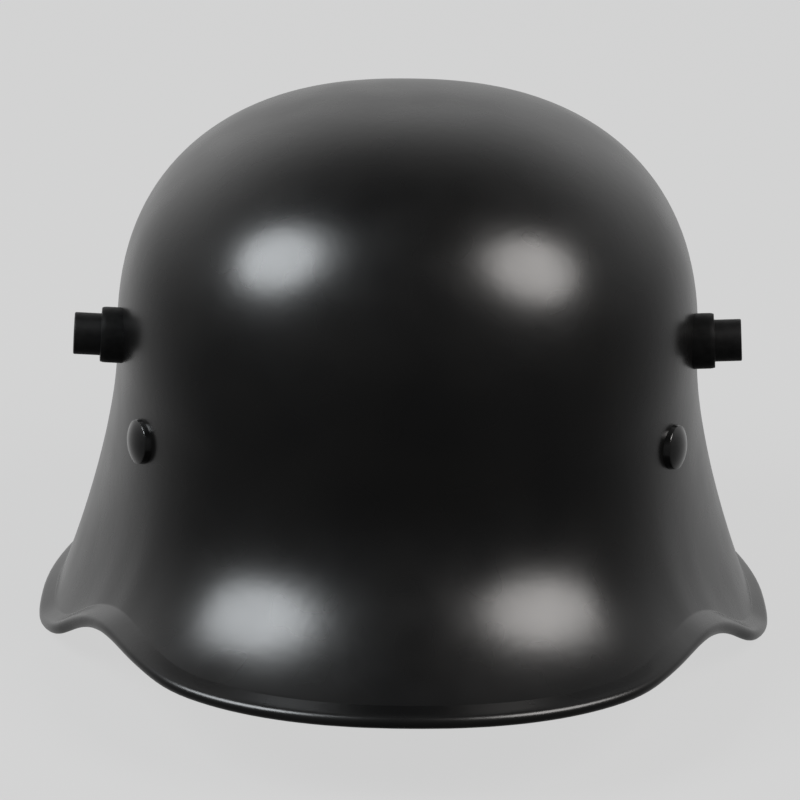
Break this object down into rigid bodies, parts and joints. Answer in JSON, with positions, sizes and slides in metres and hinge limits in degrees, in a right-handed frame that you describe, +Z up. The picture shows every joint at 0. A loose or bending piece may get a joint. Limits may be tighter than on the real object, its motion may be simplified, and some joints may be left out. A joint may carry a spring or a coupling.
{
  "type": "steel helmet",
  "caption": "Pressed steel helmet with a deep visor, flared neck guard, rolled edge, stepped vent lugs on the temples and domed liner rivets, standing on its neck guard.",
  "frame": {"origin": "middle of the ground that the helmet stands on, below the centre of its box", "axes": "+Z up, -Y to the front of the visor, +Y to the neck guard, +X to the viewer's right facing the visor"},
  "size_m": [0.242, 0.292, 0.178],
  "materials": {
    "satin_black_paint": "satin black paint on pressed steel",
    "dull_black_steel": "dull blackened turned steel",
    "gloss_black_steel": "glossy black steel"
  },
  "bodies": {
    "root": {"shell": "satin_black_paint", "lug_left": "dull_black_steel", "lug_right": "dull_black_steel", "rivet_left": "gloss_black_steel", "rivet_right": "gloss_black_steel", "rivet_back": "gloss_black_steel"}
  },
  "joints": []
}
